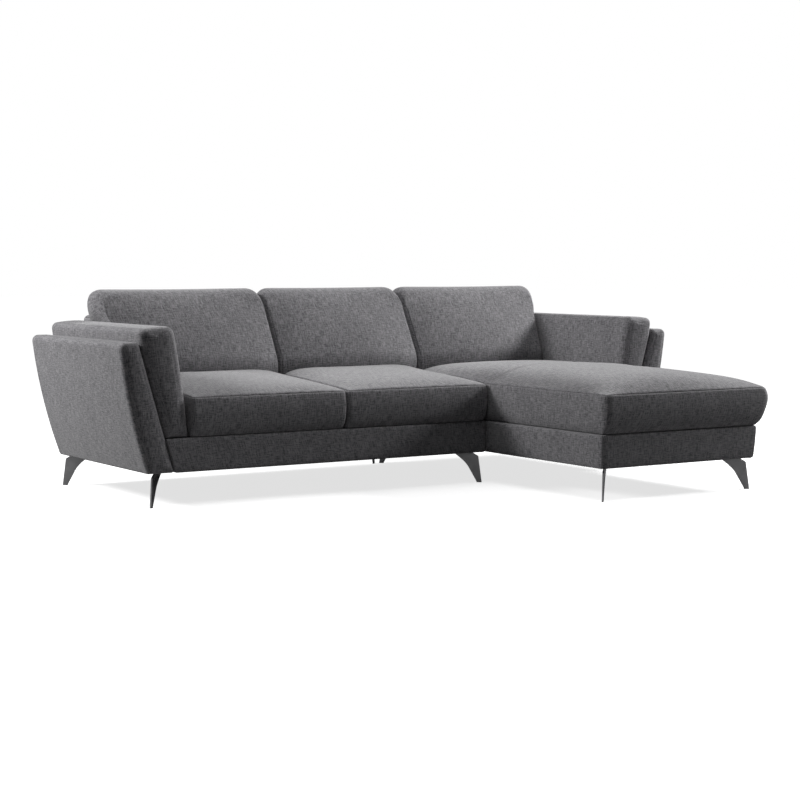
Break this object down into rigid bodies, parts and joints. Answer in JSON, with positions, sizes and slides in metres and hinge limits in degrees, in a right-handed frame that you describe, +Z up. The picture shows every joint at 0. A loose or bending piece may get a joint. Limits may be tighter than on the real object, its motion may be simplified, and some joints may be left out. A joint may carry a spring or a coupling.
{
  "type": "l-shaped sectional sofa",
  "caption": "L-shaped upholstered sectional sofa with a two-seat module, a chaise module, leaning padded arms, loose seat and back cushions and splayed metal blade legs",
  "frame": {"origin": "on the floor, at the middle of the sofa's footprint", "axes": "+X runs along the back towards the chaise's side, on the right of a person who faces the sofa; +Y points from the chaise's foot to the back; +Z is up"},
  "size_m": [2.7948, 1.8044, 0.8576],
  "materials": {
    "grey_fabric": "matte",
    "frame_wood": "matte",
    "leg_metal": "satin",
    "hardware_steel": "satin",
    "black_plastic": "matte",
    "black_cloth": "matte"
  },
  "bodies": {
    "loveseat": {"loveseat_front_rail": "frame_wood", "loveseat_deck_rail": "frame_wood", "loveseat_back_rail": "frame_wood", "loveseat_side_rails": "frame_wood", "loveseat_cross_rail": "frame_wood", "loveseat_corner_blocks": "frame_wood", "loveseat_springs": "hardware_steel", "loveseat_spring_clips": "black_plastic", "loveseat_deck": "grey_fabric", "loveseat_front_band": "grey_fabric", "loveseat_side_bands": "grey_fabric", "loveseat_rear_band": "grey_fabric", "loveseat_dust_cover": "black_cloth", "loveseat_back_posts": "frame_wood", "loveseat_top_rail": "frame_wood", "loveseat_back_straps": "black_cloth", "loveseat_inside_back": "grey_fabric", "loveseat_outside_back": "grey_fabric", "loveseat_legs": "leg_metal", "loveseat_leg_bolts": "hardware_steel", "loveseat_glides": "black_plastic", "connector_sockets": "hardware_steel", "left_arm_frame": "frame_wood", "left_arm_panel": "grey_fabric", "left_arm_pad": "grey_fabric", "left_pad_board": "frame_wood", "left_arm_bolts": "hardware_steel"},
    "chaise": {"chaise_front_rail": "frame_wood", "chaise_deck_rail": "frame_wood", "chaise_back_rail": "frame_wood", "chaise_side_rails": "frame_wood", "chaise_cross_rail": "frame_wood", "chaise_corner_blocks": "frame_wood", "chaise_springs": "hardware_steel", "chaise_spring_clips": "black_plastic", "chaise_deck": "grey_fabric", "chaise_front_band": "grey_fabric", "chaise_side_bands": "grey_fabric", "chaise_rear_band": "grey_fabric", "chaise_dust_cover": "black_cloth", "chaise_back_posts": "frame_wood", "chaise_top_rail": "frame_wood", "chaise_back_straps": "black_cloth", "chaise_inside_back": "grey_fabric", "chaise_outside_back": "grey_fabric", "chaise_legs": "leg_metal", "chaise_leg_bolts": "hardware_steel", "chaise_glides": "black_plastic", "connector_tongues": "hardware_steel", "right_arm_frame": "frame_wood", "right_arm_panel": "grey_fabric", "right_arm_pad": "grey_fabric", "right_pad_board": "frame_wood", "right_arm_bolts": "hardware_steel"},
    "left_seat_cushion": {"left_seat_cushion": "grey_fabric"},
    "middle_seat_cushion": {"middle_seat_cushion": "grey_fabric"},
    "chaise_cushion": {"chaise_cushion": "grey_fabric"},
    "left_back_cushion": {"left_back_cushion": "grey_fabric"},
    "middle_back_cushion": {"middle_back_cushion": "grey_fabric"},
    "right_back_cushion": {"right_back_cushion": "grey_fabric"}
  },
  "joints": [
    {"name": "chaise_pull_apart", "type": "slide", "parent": "loveseat", "child": "chaise", "axis": [1, 0, 0], "range_m": [0, 0.3]},
    {"name": "left_seat_cushion_lift", "type": "slide", "parent": "loveseat", "child": "left_seat_cushion", "axis": [0, 0, 1], "range_m": [0, 0.3]},
    {"name": "middle_seat_cushion_lift", "type": "slide", "parent": "loveseat", "child": "middle_seat_cushion", "axis": [0, 0, 1], "range_m": [0, 0.3]},
    {"name": "chaise_cushion_lift", "type": "slide", "parent": "chaise", "child": "chaise_cushion", "axis": [0, 0, 1], "range_m": [0, 0.3]},
    {"name": "left_back_cushion_draw_up", "type": "slide", "parent": "loveseat", "child": "left_back_cushion", "axis": [0, 0.4226, 0.9063], "range_m": [0, 0.3]},
    {"name": "middle_back_cushion_draw_up", "type": "slide", "parent": "loveseat", "child": "middle_back_cushion", "axis": [0, 0.4226, 0.9063], "range_m": [0, 0.3]},
    {"name": "right_back_cushion_draw_up", "type": "slide", "parent": "chaise", "child": "right_back_cushion", "axis": [0, 0.4226, 0.9063], "range_m": [0, 0.3]}
  ]
}
